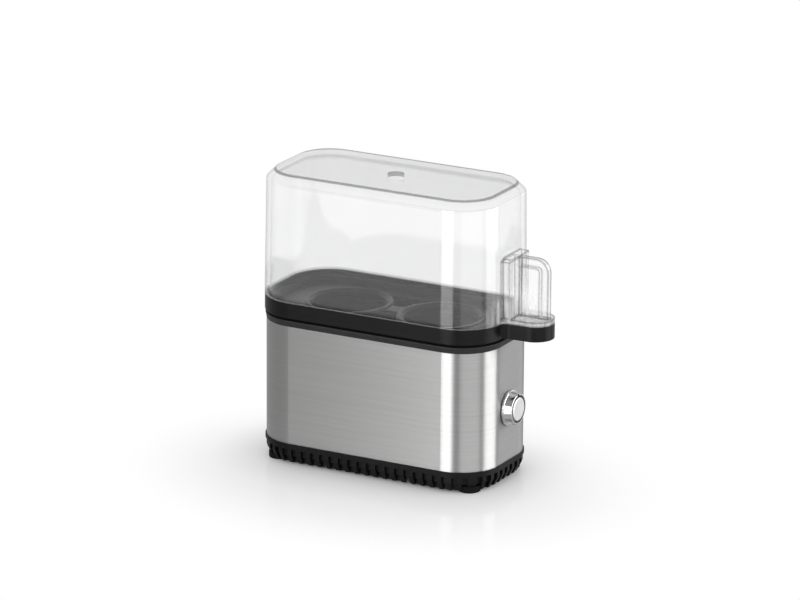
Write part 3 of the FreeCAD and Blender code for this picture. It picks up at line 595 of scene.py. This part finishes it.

# The root of the grip is thick, and light caught in it makes it pale, in uneven flow lines; this
# caught light is painted, as a pale diffuse share mixed into the clear plastic.
end_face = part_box("steel_sleeve")[1][0]
tray_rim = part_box("egg_tray")[1][2]
outside_end = between(tree, along.outputs["X"], end_face - 0.001, end_face + 0.0005)
grip_root = between(tree, height, tray_rim + 0.018, tray_rim + 0.01)
flow_lines = noise(tree, stretched(tree, place, (420.0, 420.0, 45.0)), 1.0, 2.0)
uneven = span(tree, between(tree, flow_lines, 0.35, 0.62), 0.14, 0.44)
trapped = math_node(tree, "MULTIPLY", outside_end, grip_root)
trapped = math_node(tree, "MULTIPLY", trapped, math_node(tree, "SUBTRACT", 1.0, painted_line_mask))
painted_caught_light = put(tree, "ShaderNodeBsdfDiffuse", {"Color": (0.72, 0.72, 0.72, 1.0)})
plastic = put(
    tree,
    "ShaderNodeMixShader",
    {
        0: math_node(tree, "MULTIPLY", trapped, uneven),
        1: shader.outputs["BSDF"],
        2: painted_caught_light.outputs["BSDF"],
    },
)

# The light of the lamps passes through the lid to the tray.
path = put(tree, "ShaderNodeLightPath")
let_light = put(tree, "ShaderNodeBsdfTransparent", {"Color": (0.93, 0.93, 0.93, 1.0)})
mixed = put(
    tree,
    "ShaderNodeMixShader",
    {
        0: path.outputs["Is Shadow Ray"],
        1: plastic.outputs["Shader"],
        2: let_light.outputs["BSDF"],
    },
)
tree.links.new(mixed.outputs["Shader"], tree.nodes["Material Output"].inputs["Surface"])
dress(clear, "lid")


# Camera: the place and the long lens that fit the outline in the photograph.
# It looks down on the front and the handle end, with a slight roll.
turn = math.radians(28.24)
lift = math.radians(17.119)
roll = math.radians(0.372)
distance = 2.6647
focal_pixels = 5571.3
picture_width = 800.0
sensor_width = 36.0
aim = Vector((0.002629, 0.0, 0.081729))
back = Vector((math.sin(turn) * math.cos(lift), -math.cos(turn) * math.cos(lift), math.sin(lift)))
right = Vector((math.cos(turn), math.sin(turn), 0.0))
up = back.cross(right)
camera_right = right * math.cos(roll) + up * math.sin(roll)
camera_up = up * math.cos(roll) - right * math.sin(roll)
stand = aim + back * distance
bpy.ops.object.camera_add()
camera = bpy.context.object
camera.name = "camera"
camera.data.sensor_width = sensor_width
camera.data.lens = sensor_width * focal_pixels / picture_width
camera.data.clip_end = 30.0
camera.matrix_world = Matrix(
    (
        (camera_right.x, camera_up.x, back.x, stand.x),
        (camera_right.y, camera_up.y, back.y, stand.y),
        (camera_right.z, camera_up.z, back.z, stand.z),
        (0.0, 0.0, 0.0, 1.0),
    )
)
bpy.context.scene.camera = camera


# Floor: a wide sheet of white gloss board. Near the object it shows its shadow and its
# reflection; further out it fades into the white of the backdrop.
bpy.ops.mesh.primitive_plane_add(size=8.0)
floor = bpy.context.object
floor.name = "floor"
board, tree, shader = new_finish("white_board")
board_roughness = 0.12
room_grey = 0.38
shader.inputs["Base Color"].default_value = (0.84, 0.84, 0.84, 1.0)
shader.inputs["Roughness"].default_value = board_roughness
near = stretched(tree, object_place(tree), (6.0, 7.5, 1.0), (-0.06, 0.15, 0.0))
fade = put(
    tree,
    "ShaderNodeMapRange",
    {"Value": length_of(tree, near), "From Min": 0.3, "From Max": 0.85, "To Min": 0.5},
    interpolation_type="SMOOTHSTEP",
).outputs["Result"]
contact = put(tree, "ShaderNodeAmbientOcclusion", {"Distance": 0.03}, samples=8).outputs["AO"]
clear_of_object = math_node(tree, "MULTIPLY", fade, contact)
path = put(tree, "ShaderNodeLightPath")
seen = math_node(tree, "MAXIMUM", path.outputs["Is Camera Ray"], path.outputs["Is Glossy Ray"])
seen = math_node(tree, "MAXIMUM", seen, path.outputs["Is Transmission Ray"])
white = put(tree, "ShaderNodeEmission", {"Strength": 1.0})
gloss = put(
    tree,
    "ShaderNodeBsdfPrincipled",
    {
        "Base Color": (0.0, 0.0, 0.0, 1.0),
        "Roughness": board_roughness,
        "Emission Color": (1.0, 1.0, 1.0, 1.0),
        "Emission Strength": room_grey,
    },
)
mirrored = math_node(
    tree, "SUBTRACT", path.outputs["Is Glossy Ray"], path.outputs["Is Transmission Ray"]
)
far = put(
    tree,
    "ShaderNodeMixShader",
    {0: mirrored, 1: white.outputs["Emission"], 2: gloss.outputs["BSDF"]},
)
mixed = put(
    tree,
    "ShaderNodeMixShader",
    {
        0: math_node(tree, "MULTIPLY", clear_of_object, seen),
        1: shader.outputs["BSDF"],
        2: far.outputs["Shader"],
    },
)
tree.links.new(mixed.outputs["Shader"], tree.nodes["Material Output"].inputs["Surface"])
floor.data.materials.append(board)


# Studio light: a soft box to each side of the rounded corner, weaker ones between and behind,
# a large one overhead, and a grey room that is white where the camera sees it.
def soft_box(name, azimuth, height, distance, width, tall, power):
    """A rectangular lamp that faces the middle of the object."""
    angle = math.radians(azimuth)
    middle = Vector((0.0, 0.0, 0.08))
    spot = Vector((math.sin(angle) * distance, -math.cos(angle) * distance, height))
    bpy.ops.object.light_add(type="AREA", location=spot)
    lamp = bpy.context.object
    lamp.name = name
    lamp.rotation_euler = (middle - spot).to_track_quat("-Z", "Y").to_euler()
    lamp.data.shape = "RECTANGLE"
    lamp.data.size = width
    lamp.data.size_y = tall
    lamp.data.energy = power
    lamp.visible_camera = False
    lamp.visible_transmission = False


soft_box("front_box", azimuth=-8.0, height=0.34, distance=1.3, width=0.66, tall=0.46, power=10.0)
soft_box("end_box", azimuth=110.0, height=0.34, distance=1.3, width=0.9, tall=0.46, power=10.5)
soft_box("corner_fill", azimuth=52.0, height=0.34, distance=1.3, width=1.3, tall=0.46, power=5.0)
soft_box("side_fill", azimuth=155.0, height=0.34, distance=1.3, width=0.6, tall=0.46, power=1.25)
soft_box("top_box", azimuth=200.0, height=1.6, distance=0.3, width=1.2, tall=1.2, power=5.0)

room = bpy.data.worlds.new("room")
bpy.context.scene.world = room
room.use_nodes = True
tree = room.node_tree
grey = tree.nodes["Background"]
grey.inputs["Color"].default_value = (room_grey, room_grey, room_grey, 1.0)
white = put(tree, "ShaderNodeBackground", {"Color": (1.0, 1.0, 1.0, 1.0), "Strength": 1.0})
direction = put(tree, "ShaderNodeTexCoord").outputs["Generated"]
rise = put(tree, "ShaderNodeSeparateXYZ", {"Vector": direction}).outputs["Z"]
low = between(tree, rise, 0.6, 0.3)
path = put(tree, "ShaderNodeLightPath")
mirrored = math_node(
    tree,
    "MAXIMUM",
    math_node(tree, "MULTIPLY", path.outputs["Is Glossy Ray"], 0.12),
    path.outputs["Is Transmission Ray"],
)
seen = math_node(
    tree, "MAXIMUM", path.outputs["Is Camera Ray"], math_node(tree, "MULTIPLY", low, mirrored)
)
mixed = put(
    tree,
    "ShaderNodeMixShader",
    {0: seen, 1: grey.outputs["Background"], 2: white.outputs["Background"]},
)
tree.links.new(mixed.outputs["Shader"], tree.nodes["World Output"].inputs["Surface"])
bpy.context.scene.view_settings.view_transform = "Standard"
